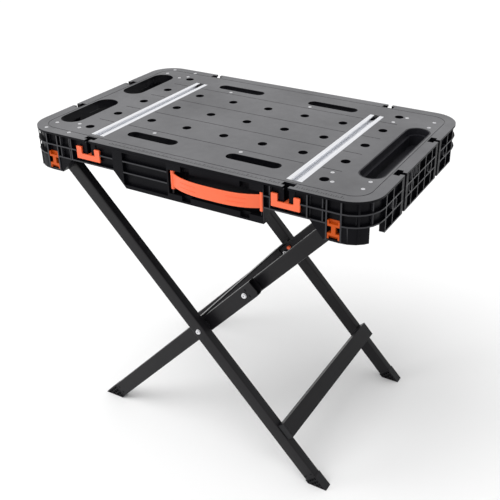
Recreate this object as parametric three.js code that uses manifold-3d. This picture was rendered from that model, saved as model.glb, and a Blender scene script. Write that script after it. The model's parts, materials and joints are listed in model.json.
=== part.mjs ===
// A folding sawhorse with a bench top: a moulded deck with dog holes and T-tracks stands on an outer
// leg frame and an inner leg frame, which cross at a pivot. Millimetres, +Z up. X runs along the deck,
// Y across it with the carrying handle on the -Y side, and Z is 0 on the floor.
import * as THREE from "three";
import { mergeVertices } from "three/addons/utils/BufferGeometryUtils.js";
import Module from "manifold-3d";

const wasm = await Module();
wasm.setup();

// Overall sizes.
const WORKTOP_HEIGHT = 757;
const DECK_LENGTH = 832;
const DECK_WIDTH = 520;
const CORNER_RADIUS = 63;
const GAP = 0.3; // left between pieces that touch
const ARC_STEPS = 3; // half the number of flats on each arc

// Deck plate and what is cut into it. Places are counted from the deck's ends and edges.
const PLATE = 5;
const HOLE_PITCH = 96;
const HOLE_RADIUS = 10;
const HOLE_SIDES = 12;
const HOLE_MARGIN = 6; // least plate between a dog hole and a track or slot
const TRACK_FROM_END = 176;
const TRACK = { width: 34, depth: 12, mouth: 13, lip: 3, head: 22, headDepth: 5, stop: 14 };
const TRACK_ENDS = { front: 36, back: 83 }; // from the deck's edges
const CRADLE_WALL = 3;
const END_SLOT = { fromEnd: 58, width: 56, length: 168, middle: 111 };
const THIN_SLOT = { width: 28, length: 126, x: 125, fromEdge: 78 };
const COLLAR = { wall: 2, depth: 20 };
const DECK_RIB = { wall: 3, depth: 15, reach: 190 };
const TRAY = { wall: 2.5, depth: 40, ledge: 7, ledgeDepth: 14, toBracket: 1.5 };

// T-shaped notches in the deck's edges, which take the connector keys.
const NOTCH = { stem: 11, head: 27, headFrom: 9, headTo: 22, wall: 3.5, recess: 5 };
const END_NOTCH_Y = 96;

// Skirt under the deck's edge.
const SKIRT = { depth: 55, flange: 12, web: 4, shelf: 27, shelfThick: 3, rib: 3, lowerInset: 2 };
const DEEP = { block: 90, panel: 83, thick: 25 };
const CORNER_FROM_END = 126;
const PANEL_FROM_CORNER = 69;
const CORNER_SLANT = 30;
const CORNER_TIP = { inset: 7, from: 28, depth: 28, chamfer: 7, rise: 10 };
const CORNER_RIB_FROM_END = 30;
const SEAM_RIB = 4; // from a rail's end to the middle of its rib
const BACK_RIBS = [60, 150]; // from the deck's middle
const PANEL_RIBS = [19, 57, 155]; // from the deck's middle

// Carrying handle, in a housing in the middle of the front skirt.
const HANDLE = { left: -22, right: 187, height: 29, top: 29, thick: 4, bow: 22 };
const EYE = { radius: 4.5, proud: 6, pin: 2.4, pinInto: 6, clear: 0.5 };
const HOUSING = { left: -173, right: 193, slant: 30, wall: 8, rim: 4 };
const BAY = { top: 22, bottom: 75, depth: 18 };
const WINDOW = { fromBay: 31, width: 21 };

// Connector keys, kept in pockets in the corner blocks, and the sliders under the edge notches.
const KEY = { width: 26, height: 38.5, stem: 9, head: 12, prong: 3.5, bar: 5, back: 3, thick: 9 };
const KEY_POCKET = { drop: 46.5, inset: 1 };
const KEY_FROM_END = 75;
const SLIDER = { width: 62, top: 18, bottom: 46, bar: 12, thick: 4.5, tongue: 9, lift: 10, slack: 0.5 };

// Legs. Widths are seen from the front, depths are along Y.
const PIVOT_FROM_END = 82;
const PIVOT_DROP = 73;
const CROSSING_HEIGHT = 328;
const LEG_FROM_EDGE = 30;
const OUTER_TUBE = { width: 33, depth: 21, wall: 1.5, radius: 3 };
const INNER_TUBE = { width: 37, depth: 20, wall: 1.5, radius: 3 };
const LINK_TUBE = { width: 34, depth: 15, wall: 1.5, radius: 3 };
const FRAME_GAP = 10;
const LINK_GAP = 8;
const LEG_END = 16; // length of leg beyond its pivot
const INNER_END = 36; // length of inner leg beyond the knee
const INNER_CORNER = { round: 14, blunt: 3, rise: 6 };
const KNEE_PLUG = { below: 22, short: 15 };
const BOOT = { proud: 1.2, least: 10, plug: 26, slack: 0.5 };
const CROSSBAR = { width: 38, depth: 17, wall: 1.5, fromCrossing: 300, inset: 6, cap: 3, plug: 12 };
const CROSS_PLATE = { from: -40, to: 15, thick: 4.5, tab: 3, tabTo: -10, drop: 26 };

// Pivots and their brackets.
const PIN_RADIUS = 3;
const PIN_SIDES = 12;
const BOLT_HEAD = { radius: 5.5, thick: 3.3 };
const BUSH_RADIUS = 12;
const BRACKET = { ear: 3, play: 1.5, flange: 3, half: 46, slope: 8, tip: 15 };
const LOCK_BUTTON = { along: 24, up: 5, radius: 5, cap: 2, stem: 4, into: 7, travel: 4, room: 1 };

// Places worked out from the sizes above.
const halfLength = DECK_LENGTH / 2;
const halfWidth = DECK_WIDTH / 2;
const underPlate = WORKTOP_HEIGHT - PLATE;
const trackX = halfLength - TRACK_FROM_END;
const endSlotX = halfLength - END_SLOT.fromEnd;
const cornerX = halfLength - CORNER_FROM_END;
const panelY = halfWidth - PANEL_FROM_CORNER;
const keyX = halfLength - KEY_FROM_END;
const skirtBottom = WORKTOP_HEIGHT - SKIRT.depth;
const deepY = halfWidth - DEEP.thick;
const pivotX = halfLength - PIVOT_FROM_END;
const pivotZ = WORKTOP_HEIGHT - PIVOT_DROP;
const legAngle = Math.atan2(pivotZ - CROSSING_HEIGHT, pivotX);
const toCrossing = Math.hypot(pivotX, pivotZ - CROSSING_HEIGHT);
const toKnee = toCrossing - pivotX; // the links then lie flat when folded
const linkLength = toCrossing - toKnee;
const outerLegOut = halfWidth - LEG_FROM_EDGE;
const outerLegIn = outerLegOut - OUTER_TUBE.depth;
const innerLegOut = outerLegIn - FRAME_GAP;
const innerLegIn = innerLegOut - INNER_TUBE.depth;
const linkOut = innerLegIn - LINK_GAP;
const linkBracketIn = linkOut - LINK_TUBE.depth - BRACKET.play - BRACKET.ear;
const traySlotLength = 2 * (linkBracketIn - TRAY.toBracket);
const SIDES = { front: -1, back: 1 };
const ENDS = { left: -1, right: 1 };

// ---- Solids ----

// A closed three.js geometry as a solid that can be joined and cut.
function solidOf(geometry) {
  const bare = geometry.index ? geometry.toNonIndexed() : geometry.clone();
  bare.deleteAttribute("normal");
  bare.deleteAttribute("uv");
  const merged = mergeVertices(bare, 1e-4);
  const mesh = new wasm.Mesh({
    numProp: 3,
    vertProperties: merged.attributes.position.array,
    triVerts: new Uint32Array(merged.index.array),
  });
  return new wasm.Manifold(mesh);
}

function geometryOf(solid) {
  const { vertProperties, triVerts } = solid.getMesh();
  const geometry = new THREE.BufferGeometry();
  geometry.setAttribute("position", new THREE.BufferAttribute(vertProperties, 3));
  geometry.setIndex(new THREE.BufferAttribute(triVerts, 1));
  geometry.computeVertexNormals();
  return geometry;
}

const join = (solids) => solids.reduce((sum, next) => sum.add(next));
const cut = (solid, tools) => tools.reduce((rest, tool) => rest.subtract(tool), solid);
// A range on the front (-1) or back (+1) side, or at the left or right end, lowest first.
const span = (side, from, to) => [side * from, side * to].sort((a, b) => a - b);

function block([x0, x1], [y0, y1], [z0, z1]) {
  const geometry = new THREE.BoxGeometry(x1 - x0, y1 - y0, z1 - z0);
  geometry.translate((x0 + x1) / 2, (y0 + y1) / 2, (z0 + z1) / 2);
  return solidOf(geometry);
}

// A plan outline, drawn in X and Y, from one height to another.
function layer(shape, [z0, z1]) {
  const options = { depth: z1 - z0, bevelEnabled: false, curveSegments: ARC_STEPS };
  return solidOf(new THREE.ExtrudeGeometry(shape, options).translate(0, 0, z0));
}

// A side outline, drawn in X and Z, from one Y to another.
function slab(shape, [y0, y1]) {
  const options = { depth: y1 - y0, bevelEnabled: false, curveSegments: ARC_STEPS };
  const geometry = new THREE.ExtrudeGeometry(shape, options).rotateX(Math.PI / 2);
  return solidOf(geometry.translate(0, y1, 0));
}

// A round bar along Y.
function bar(radius, x, z, [y0, y1]) {
  const geometry = new THREE.CylinderGeometry(radius, radius, y1 - y0, PIN_SIDES);
  return solidOf(geometry.translate(x, (y0 + y1) / 2, z));
}

const polygon = (points) => new THREE.Shape(points.map(([x, y]) => new THREE.Vector2(x, y)));

// A rectangle with round corners, with its middle at x, y.
function roundRect(x, y, width, height, radius, kind = THREE.Shape) {
  const [a, b] = [width / 2 - radius, height / 2 - radius];
  const path = new kind();
  path.absarc(x + a, y + b, radius, 0, Math.PI / 2);
  path.absarc(x - a, y + b, radius, Math.PI / 2, Math.PI);
  path.absarc(x - a, y - b, radius, Math.PI, 1.5 * Math.PI);
  path.absarc(x + a, y - b, radius, 1.5 * Math.PI, 2 * Math.PI);
  return path;
}

// The deck's outline, moved inwards by a distance.
function outline(inset, kind = THREE.Shape) {
  const radius = CORNER_RADIUS - inset;
  return roundRect(0, 0, DECK_LENGTH - 2 * inset, DECK_WIDTH - 2 * inset, radius, kind);
}

// ---- Materials and nodes ----

const sawhorse = new THREE.Group();

const FINISHES = {
  deck: { color: 0x58585b, roughness: 0.7, metalness: 0 },
  black: { color: 0x232428, roughness: 0.6, metalness: 0 },
  orange: { color: 0xe8562a, roughness: 0.45, metalness: 0 },
  steel: { color: 0x46474b, roughness: 0.45, metalness: 0.3 },
  aluminium: { color: 0xd8dade, roughness: 0.3, metalness: 1 },
  zinc: { color: 0xb9bcc0, roughness: 0.3, metalness: 1 },
};

function place(name, solid, finish, parent = sawhorse) {
  const mesh = new THREE.Mesh(geometryOf(solid), new THREE.MeshStandardMaterial(FINISHES[finish]));
  mesh.name = name;
  parent.add(mesh);
}

// ---- Deck ----

// A T-shaped notch with its mouth on an edge: the tool that cuts it, for an edge along X.
function notchTool(x, side, slack, heights) {
  const stem = NOTCH.stem / 2 + slack;
  const head = NOTCH.head / 2 + slack;
  const y = (depth) => side * (halfWidth - depth);
  const reach = (from, to) => [y(from), y(to)].sort((a, b) => a - b);
  return [
    block([x - stem, x + stem], reach(-1, NOTCH.headFrom + 1), heights),
    block([x - head, x + head], reach(NOTCH.headFrom, NOTCH.headTo), heights),
  ];
}

// The same notch for an edge along Y, at the deck's left or right end.
function endNotchTool(y, end, slack, heights) {
  const stem = NOTCH.stem / 2 + slack;
  const head = NOTCH.head / 2 + slack;
  const reach = (from, to) => span(end, halfLength - from, halfLength - to);
  return [
    block(reach(-1, NOTCH.headFrom + 1), [y - stem, y + stem], heights),
    block(reach(NOTCH.headFrom, NOTCH.headTo), [y - head, y + head], heights),
  ];
}

const allNotches = (slack, heights) =>
  [-1, 1].flatMap((i) => [
    ...[-1, 1].flatMap((side) => notchTool(i * trackX, side, slack, heights)),
    ...[-1, 1].flatMap((end) => endNotchTool(i * END_NOTCH_Y, end, slack, heights)),
  ]);

// Dog holes stand on a square grid, wherever the plate between tracks and slots has room.
function dogHoles() {
  const holes = [];
  const room = HOLE_RADIUS + HOLE_MARGIN;
  const limit = endSlotX - END_SLOT.width / 2 - room;
  for (let x = -4 * HOLE_PITCH; x <= 4 * HOLE_PITCH; x += HOLE_PITCH) {
    const clearOfTrack = Math.abs(Math.abs(x) - trackX) > TRACK.width / 2 + room;
    if (Math.abs(x) > limit || !clearOfTrack) continue;
    const rows = Math.abs(x) > trackX ? 2 : 1;
    for (let row = -rows; row <= rows; row++) holes.push([x, row * HOLE_PITCH]);
  }
  return holes;
}

// Long slots with round ends: one at the right end, two at the left end and four thin ones.
function deckSlots() {
  const thinY = halfWidth - THIN_SLOT.fromEdge;
  const slots = [[endSlotX, 0, END_SLOT.width, traySlotLength]];
  for (const i of [-1, 1]) {
    slots.push([-endSlotX, i * END_SLOT.middle, END_SLOT.width, END_SLOT.length]);
    for (const j of [-1, 1]) slots.push([i * THIN_SLOT.x, j * thinY, THIN_SLOT.length, THIN_SLOT.width]);
  }
  return slots;
}

function slotLayer([x, y, width, height], grow, heights) {
  const radius = Math.min(width, height) / 2 + grow - 0.01;
  return layer(roundRect(x, y, width + 2 * grow, height + 2 * grow, radius), heights);
}

function dogHoleLayer([x, y], grow, [z0, z1]) {
  const radius = HOLE_RADIUS + grow;
  const geometry = new THREE.CylinderGeometry(radius, radius, z1 - z0, HOLE_SIDES);
  return solidOf(geometry.rotateX(Math.PI / 2).translate(x, y, (z0 + z1) / 2));
}

const trackSpan = [TRACK_ENDS.front - halfWidth, halfWidth - TRACK_ENDS.back];

function deckTop() {
  const plate = layer(outline(0), [underPlate, WORKTOP_HEIGHT]);
  const slots = deckSlots();
  const collarHeights = [WORKTOP_HEIGHT - COLLAR.depth, underPlate + 1];
  const collars = [
    ...slots.slice(1).map((slot) => slotLayer(slot, COLLAR.wall, collarHeights)),
    ...dogHoles().map((hole) => dogHoleLayer(hole, COLLAR.wall, collarHeights)),
  ];
  const cradleHalf = TRACK.width / 2 + GAP + CRADLE_WALL;
  const cradleBottom = WORKTOP_HEIGHT - TRACK.depth - GAP - CRADLE_WALL;
  const ends = [trackSpan[0] - GAP, trackSpan[1] + GAP];
  const cradles = [-1, 1].map((i) =>
    block(
      [i * trackX - cradleHalf, i * trackX + cradleHalf],
      [ends[0] - CRADLE_WALL, ends[1] + CRADLE_WALL],
      [cradleBottom, underPlate + 1],
    ),
  );
  const ribHeights = [underPlate - DECK_RIB.depth, underPlate + 1];
  const ribs = [-1.5, -0.5, 0.5, 1.5].flatMap((n) => {
    const at = n * HOLE_PITCH;
    const line = [at - DECK_RIB.wall / 2, at + DECK_RIB.wall / 2];
    const reachX = [-trackX, trackX];
    return [
      block(reachX, line, ribHeights),
      block(line, [-DECK_RIB.reach, DECK_RIB.reach], ribHeights),
    ];
  });
  const pockets = [-1, 1].map((i) =>
    block(
      [i * trackX - TRACK.width / 2 - GAP, i * trackX + TRACK.width / 2 + GAP],
      ends,
      [WORKTOP_HEIGHT - TRACK.depth - GAP, WORKTOP_HEIGHT + 1],
    ),
  );
  const through = [WORKTOP_HEIGHT - COLLAR.depth - 1, WORKTOP_HEIGHT + 1];
  const slotTools = slots.map((slot) => slotLayer(slot, 0, through));
  const holeTools = dogHoles().map((hole) => dogHoleLayer(hole, 0, through));
  const notches = allNotches(0, [underPlate - 1, WORKTOP_HEIGHT + 1]);
  const solid = join([plate, ...collars, ...cradles, ...ribs]);
  return cut(solid, [...pockets, ...slotTools, ...holeTools, ...notches]);
}

// An aluminium extrusion with a T-shaped slot, open at both ends.
function tTrack(x) {
  const top = WORKTOP_HEIGHT;
  const halves = [TRACK.width / 2, TRACK.mouth / 2, TRACK.head / 2];
  const levels = [top - TRACK.lip, top - TRACK.lip - TRACK.headDepth];
  const right = [
    [x + halves[0], top - TRACK.depth],
    [x + halves[0], top],
    [x + halves[1], top],
    [x + halves[1], levels[0]],
    [x + halves[2], levels[0]],
    [x + halves[2], levels[1]],
  ];
  const left = right.map(([px, pz]) => [2 * x - px, pz]).reverse();
  return slab(polygon([...right, ...left]), trackSpan);
}

// A moulded stop in a track's far end, which keeps bolts from sliding out.
function trackStop(x) {
  const y = [trackSpan[1] - TRACK.stop, trackSpan[1] - GAP];
  const neck = TRACK.mouth / 2 - GAP;
  const head = TRACK.head / 2 - GAP;
  const floor = WORKTOP_HEIGHT - TRACK.lip - TRACK.headDepth + GAP;
  return join([
    block([x - neck, x + neck], y, [floor, WORKTOP_HEIGHT - GAP]),
    block([x - head, x + head], y, [floor, WORKTOP_HEIGHT - TRACK.lip - GAP]),
  ]);
}

// A trough that hangs in the right end slot, stepped in below its mouth.
function toolTray() {
  const [x, y, width, height] = deckSlots()[0];
  const grown = (grow, from, to) => slotLayer([x, y, width, height], grow, [from, to]);
  const floor = WORKTOP_HEIGHT - TRAY.depth;
  const ledge = WORKTOP_HEIGHT - TRAY.ledgeDepth;
  const body = join([
    grown(-GAP, ledge - TRAY.wall, WORKTOP_HEIGHT - GAP),
    grown(-GAP - TRAY.ledge, floor, ledge),
  ]);
  return cut(body, [
    grown(-GAP - TRAY.wall, ledge, WORKTOP_HEIGHT + 1),
    grown(-GAP - TRAY.ledge - TRAY.wall, floor + TRAY.wall, WORKTOP_HEIGHT),
  ]);
}

// ---- Skirt ----

const skirtTop = underPlate - GAP;

// The whole ribbed band under the deck's edge, before it is divided.
function skirtBand(bottom) {
  const ring = (from, to, heights) => {
    const shape = outline(from);
    shape.holes.push(outline(to, THREE.Path));
    return layer(shape, heights);
  };
  const shelfTop = WORKTOP_HEIGHT - SKIRT.shelf;
  const web = ring(SKIRT.flange - SKIRT.web, SKIRT.flange, [bottom, skirtTop]);
  const shelves = [shelfTop, skirtBottom + SKIRT.shelfThick, bottom + SKIRT.shelfThick].map((top) =>
    ring(0, SKIRT.flange, [top - SKIRT.shelfThick, top]),
  );
  return join([web, ...shelves]);
}

const shallowBand = skirtBand(skirtBottom);
const panelBottom = WORKTOP_HEIGHT - DEEP.panel;
const deepBand = skirtBand(panelBottom);

// A T-shaped guide below an edge notch, as a block with the notch's head cut out of it.
function frontGuide(x, side) {
  const half = NOTCH.head / 2 + NOTCH.wall;
  const y = span(side, halfWidth - NOTCH.recess, halfWidth - NOTCH.headTo - NOTCH.wall);
  return block([x - half, x + half], y, [skirtBottom, skirtTop]);
}

// Clears the skirt where a slider moves.
function sliderRoom(x, side) {
  const half = SLIDER.width / 2 + 1;
  const y = span(side, halfWidth + 1, halfWidth - SLIDER.thick - 1);
  const top = WORKTOP_HEIGHT - SLIDER.top + SLIDER.lift + SLIDER.slack;
  return block([x - half, x + half], y, [WORKTOP_HEIGHT - SLIDER.bottom - 1, top]);
}

function frontRibs(side, places) {
  const y = span(side, halfWidth, halfWidth - SKIRT.flange);
  return places.map((x) => block([x - SKIRT.rib / 2, x + SKIRT.rib / 2], y, [skirtBottom, skirtTop]));
}

// A length of skirt along the front or back edge, with the notch guides that fall in it. Their slots
// stop at the bottom shelf.
function rail(side, [from, to], guides, ribs) {
  const y = span(side, 0, halfWidth + 1);
  const length = block([from + GAP, to - GAP], y, [0, WORKTOP_HEIGHT]);
  const band = shallowBand.intersect(length);
  const solid = join([band, ...guides.map((x) => frontGuide(x, side)), ...frontRibs(side, ribs)]);
  const heights = [skirtBottom + SKIRT.shelfThick, WORKTOP_HEIGHT];
  const cuts = guides.flatMap((x) => [...notchTool(x, side, 0, heights), sliderRoom(x, side)]);
  return cut(solid, cuts);
}

// The deep ribbed panel at a deck's end, with two notch guides down its whole height.
function endPanel(end) {
  const x = span(end, 0, halfLength + 1);
  const limits = block(x, [-panelY + GAP, panelY - GAP], [0, WORKTOP_HEIGHT]);
  const band = deepBand.intersect(limits);
  const heights = [panelBottom, skirtTop];
  const guideX = span(end, halfLength, halfLength - NOTCH.headTo - NOTCH.wall);
  const half = NOTCH.head / 2 + NOTCH.wall;
  const guides = [-1, 1].map((i) =>
    block(guideX, [i * END_NOTCH_Y - half, i * END_NOTCH_Y + half], heights),
  );
  const ribX = span(end, halfLength, halfLength - SKIRT.flange);
  const edge = panelY - GAP - SKIRT.rib / 2;
  const places = [...PANEL_RIBS, edge].flatMap((y) => [-y, y]);
  const ribs = places.map((y) => block(ribX, [y - SKIRT.rib / 2, y + SKIRT.rib / 2], heights));
  const open = [panelBottom - 1, WORKTOP_HEIGHT];
  const cuts = [-1, 1].flatMap((i) => endNotchTool(i * END_NOTCH_Y, end, 0, open));
  return cut(join([band, ...guides, ...ribs]), cuts);
}

// A corner of the skirt, with a deep block behind its long face that holds a connector key.
function cornerBlock(end, side) {
  const limits = block(
    span(end, cornerX, halfLength + 1),
    span(side, panelY, halfWidth + 1),
    [0, WORKTOP_HEIGHT],
  );
  const band = shallowBand.intersect(limits);
  const bottom = WORKTOP_HEIGHT - DEEP.block;
  const outer = halfLength - CORNER_TIP.inset;
  const profile = [
    [cornerX, skirtTop],
    [cornerX, skirtBottom],
    [cornerX + CORNER_SLANT, bottom],
    [outer - CORNER_TIP.chamfer, bottom],
    [outer, bottom + CORNER_TIP.rise],
    [outer, skirtTop],
  ].map(([x, z]) => [end * x, z]);
  const shape = polygon(end > 0 ? profile : profile.reverse());
  const tipY = span(side, halfWidth - CORNER_TIP.depth, halfWidth + 1);
  const tipX = span(end, halfLength - CORNER_TIP.from, halfLength);
  const tip = slab(shape, tipY).intersect(block(tipX, tipY, [0, WORKTOP_HEIGHT]));
  const deep = slab(shape, span(side, deepY, halfWidth + 1)).add(tip);
  const inside = layer(outline(SKIRT.flange - SKIRT.web), [0, skirtTop]);
  const lower = layer(outline(SKIRT.lowerInset), [0, skirtBottom + 1]);
  const body = join([band, deep.intersect(inside), deep.intersect(lower)]);
  const half = KEY.width / 2 + GAP;
  const pocket = block(
    [end * keyX - half, end * keyX + half],
    span(side, halfWidth + 1, halfWidth - KEY_POCKET.inset - KEY.thick - GAP),
    [WORKTOP_HEIGHT - KEY_POCKET.drop - KEY.height - GAP, WORKTOP_HEIGHT - KEY_POCKET.drop + GAP],
  );
  const ribY = span(side, halfWidth, halfWidth - SKIRT.flange);
  const ribs = [keyX - half - SKIRT.rib, keyX + half, halfLength - CORNER_RIB_FROM_END].map((x) =>
    block(span(end, x, x + SKIRT.rib), ribY, [bottom + SKIRT.lowerInset, skirtTop]),
  );
  const trimmed = join(ribs).intersect(layer(outline(0), [0, skirtTop]));
  return cut(body.add(trimmed), [pocket]).intersect(limits);
}

// ---- Handle ----

const bayMiddle = (HANDLE.left + HANDLE.right) / 2;

// The deep middle of the front skirt, with a bay behind the strap for the fingers.
function handleHousing() {
  const bottom = WORKTOP_HEIGHT - DEEP.block;
  const profile = [
    [HOUSING.left, skirtTop],
    [HOUSING.left, skirtBottom],
    [HOUSING.left + HOUSING.slant, bottom],
    [HOUSING.right, bottom],
    [HOUSING.right, skirtTop],
  ];
  const body = slab(polygon(profile), [-halfWidth, -deepY]);
  const bayLeft = HANDLE.left - HOUSING.wall;
  const bayRight = HOUSING.right - 1;
  const bay = block(
    [bayLeft, bayRight],
    [-halfWidth - 1, -halfWidth + BAY.depth],
    [WORKTOP_HEIGHT - BAY.bottom, WORKTOP_HEIGHT - BAY.top],
  );
  const recessY = [-halfWidth - 1, -halfWidth + SKIRT.flange - SKIRT.web];
  const panels = [
    [SKIRT.shelf + SKIRT.shelfThick, SKIRT.depth - SKIRT.shelfThick],
    [PLATE + HOUSING.rim, SKIRT.shelf],
    [SKIRT.depth, DEEP.block - 2 * HOUSING.rim],
  ].map(([top, low]) =>
    block(
      [HOUSING.left + HOUSING.slant - HOUSING.rim, bayLeft - HOUSING.rim],
      recessY,
      [WORKTOP_HEIGHT - low, WORKTOP_HEIGHT - top],
    ),
  );
  const windows = [
    [PLATE + HOUSING.rim, BAY.top + 1],
    [BAY.bottom - 1, DEEP.block - HOUSING.rim],
  ].flatMap(([top, low]) =>
    [
      [bayLeft + WINDOW.fromBay, bayLeft + WINDOW.fromBay + WINDOW.width],
      [bayRight - WINDOW.fromBay - WINDOW.width, bayRight - WINDOW.fromBay],
    ].map((x) => block(x, recessY, [WORKTOP_HEIGHT - low, WORKTOP_HEIGHT - top])),
  );
  const pins = [HANDLE.left, HANDLE.right].map((x) => pinHole(x, EYE.pin + GAP));
  return cut(body, [bay, ...panels, ...windows, ...pins]);
}

const pinY = -halfWidth + EYE.radius + EYE.clear;
const pinSpan = [
  WORKTOP_HEIGHT - BAY.bottom - EYE.pinInto,
  WORKTOP_HEIGHT - BAY.top + EYE.pinInto,
];

// An upright round bar through an eye of the strap.
function pinHole(x, radius) {
  const height = pinSpan[1] - pinSpan[0];
  const geometry = new THREE.CylinderGeometry(radius, radius, height, PIN_SIDES).rotateX(Math.PI / 2);
  return solidOf(geometry.translate(x, pinY, (pinSpan[0] + pinSpan[1]) / 2));
}

// The strap bows outwards between two eyes that turn on upright pins.
function handleStrap() {
  const half = (HANDLE.right - HANDLE.left) / 2;
  const radius = (half * half + HANDLE.bow * HANDLE.bow) / (2 * HANDLE.bow);
  const centreY = pinY - HANDLE.bow + radius;
  const sweep = Math.asin(half / radius);
  const shape = new THREE.Shape();
  const [from, to] = [1.5 * Math.PI - sweep, 1.5 * Math.PI + sweep];
  shape.absarc(bayMiddle, centreY, radius + HANDLE.thick / 2, from, to, false);
  shape.absarc(bayMiddle, centreY, radius - HANDLE.thick / 2, to, from, true);
  const top = WORKTOP_HEIGHT - HANDLE.top;
  const eyeHeights = [top - HANDLE.height - EYE.proud, top + EYE.proud];
  const strap = layer(shape, [top - HANDLE.height, top]);
  const eyes = [HANDLE.left, HANDLE.right].map((x) => {
    const ring = new THREE.Shape();
    ring.absarc(x, pinY, EYE.radius, 0, Math.PI);
    ring.absarc(x, pinY, EYE.radius, Math.PI, 2 * Math.PI);
    return layer(ring, eyeHeights);
  });
  const bores = [HANDLE.left, HANDLE.right].map((x) => pinHole(x, EYE.pin + GAP));
  return cut(join([strap, ...eyes]), bores);
}

// ---- Connector keys and sliders ----

// Two T heads back to back, which lock two decks edge to edge. Each head is a U with a thin back.
function connectorKey(end, side) {
  const x = end * keyX;
  const [half, stem] = [KEY.width / 2, KEY.stem / 2];
  const top = WORKTOP_HEIGHT - KEY_POCKET.drop;
  const bottom = top - KEY.height;
  const face = halfWidth - KEY_POCKET.inset;
  const y = span(side, face, face - KEY.thick);
  const solid = block([x - half, x + half], y, [bottom, top]);
  const notch = (from, to, z) => block([from, to], [y[0] - 1, y[1] + 1], z);
  const waist = [bottom + KEY.head, top - KEY.head];
  const slit = half - KEY.prong;
  const slitY = span(side, face + 1, face - KEY.thick + KEY.back);
  return cut(solid, [
    notch(x - half - 1, x - stem, waist),
    notch(x + stem, x + half + 1, waist),
    block([x - slit, x + slit], slitY, [waist[1] + KEY.bar, top + 1]),
    block([x - slit, x + slit], slitY, [bottom - 1, waist[0] - KEY.bar]),
  ]);
}

// A U-shaped catch around a notch guide, with a tongue that closes the notch from below.
function slider(end, side) {
  const x = end * trackX;
  const half = SLIDER.width / 2;
  const inner = NOTCH.head / 2 + NOTCH.wall + SLIDER.slack;
  const [low, high] = [WORKTOP_HEIGHT - SLIDER.bottom, WORKTOP_HEIGHT - SLIDER.top];
  const y = span(side, halfWidth - SLIDER.slack, halfWidth - SLIDER.thick);
  const plate = block([x - half, x + half], y, [low, high]);
  const opening = block([x - inner, x + inner], [y[0] - 1, y[1] + 1], [low + SLIDER.bar, high + 1]);
  const tongueY = span(side, halfWidth - 1, halfWidth - NOTCH.headTo + 1);
  const tongue = block([x - SLIDER.tongue / 2, x + SLIDER.tongue / 2], tongueY, [low + 2, low + SLIDER.bar]);
  return plate.subtract(opening).add(tongue);
}

// ---- Legs ----

// A rectangular tube along X, in its own frame, with its middle line on Y = y.
function tube([from, to], size, y, wall) {
  const shape = roundRect(0, 0, size.width, size.depth, size.radius);
  const [width, depth] = [size.width - 2 * wall, size.depth - 2 * wall];
  shape.holes.push(roundRect(0, 0, width, depth, size.radius - wall / 2, THREE.Path));
  const options = { depth: to - from, bevelEnabled: false, curveSegments: 1 };
  const geometry = new THREE.ExtrudeGeometry(shape, options);
  geometry.rotateY(Math.PI / 2);
  return solidOf(geometry.translate(from, y, 0));
}

const middle = (side, out, depth) => side * (out - depth / 2);
// Cuts a pivot hole through a leg at a distance along it.
const pivotHole = (x) => bar(PIN_RADIUS + GAP, x, 0, [-halfWidth, halfWidth]);

// Keeps the part of a leg inside a round end at x = 0, which turns under the deck.
function roundEnd(width, length, end) {
  const shape = new THREE.Shape();
  const radius = width / 2;
  shape.absarc(0, 0, radius, Math.PI / 2, 1.5 * Math.PI);
  shape.lineTo(length, -radius);
  shape.lineTo(length, radius);
  const points = shape.getPoints(ARC_STEPS).map((p) => new THREE.Vector2(end * p.x, p.y));
  return slab(new THREE.Shape(points), [-halfWidth, halfWidth]);
}

// Distance along a leg from its pivot to the floor, at an offset from its middle line.
const outerFloor = (offset) => (pivotZ + offset * Math.cos(legAngle)) / Math.sin(legAngle);
const innerFloor = (offset) => (CROSSING_HEIGHT + offset * Math.cos(legAngle)) / Math.sin(legAngle);
const bootHalf = (size) => size.width / 2 + BOOT.proud;
const outerTubeEnd = outerFloor(-bootHalf(OUTER_TUBE)) - BOOT.least;
const innerTubeEnd = innerFloor(-bootHalf(INNER_TUBE)) - BOOT.least;

function outerLeg(side) {
  const y = middle(side, outerLegOut, OUTER_TUBE.depth);
  const solid = tube([-LEG_END - 2, outerTubeEnd], OUTER_TUBE, y, OUTER_TUBE.wall);
  const rounded = solid.intersect(roundEnd(OUTER_TUBE.width + 0.2, outerTubeEnd + 1, 1));
  return cut(rounded, [pivotHole(0), pivotHole(toCrossing)]);
}

function innerLeg(side) {
  const y = middle(side, innerLegOut, INNER_TUBE.depth);
  const top = toKnee + INNER_END;
  const solid = tube([-innerTubeEnd, top], INNER_TUBE, y, INNER_TUBE.wall);
  const half = INNER_TUBE.width / 2 + 1;
  const { round, blunt, rise } = INNER_CORNER;
  const corner = polygon([
    [top - round, -half - 1],
    [top + 1, -half - 1],
    [top + 1, -half + round],
    [top - blunt, -half + rise],
  ]);
  const buttonHole = buttonBar(LOCK_BUTTON.stem + GAP, span(side, innerLegIn - 1, innerLegIn + 4));
  const corners = slab(corner, [-halfWidth, halfWidth]);
  return cut(solid, [corners, pivotHole(0), pivotHole(toKnee), buttonHole]);
}

function upperLink(side) {
  const y = middle(side, linkOut, LINK_TUBE.depth);
  const solid = tube([-LEG_END - 1, linkLength + LEG_END + 1], LINK_TUBE, y, LINK_TUBE.wall);
  const ends = [
    roundEnd(LINK_TUBE.width + 0.2, linkLength + 60, 1),
    solidOf(geometryOf(roundEnd(LINK_TUBE.width + 0.2, linkLength + 60, -1)).translate(linkLength, 0, 0)),
  ];
  const rounded = ends.reduce((rest, end) => rest.intersect(end), solid);
  return cut(rounded, [pivotHole(0), pivotHole(linkLength)]);
}

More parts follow.
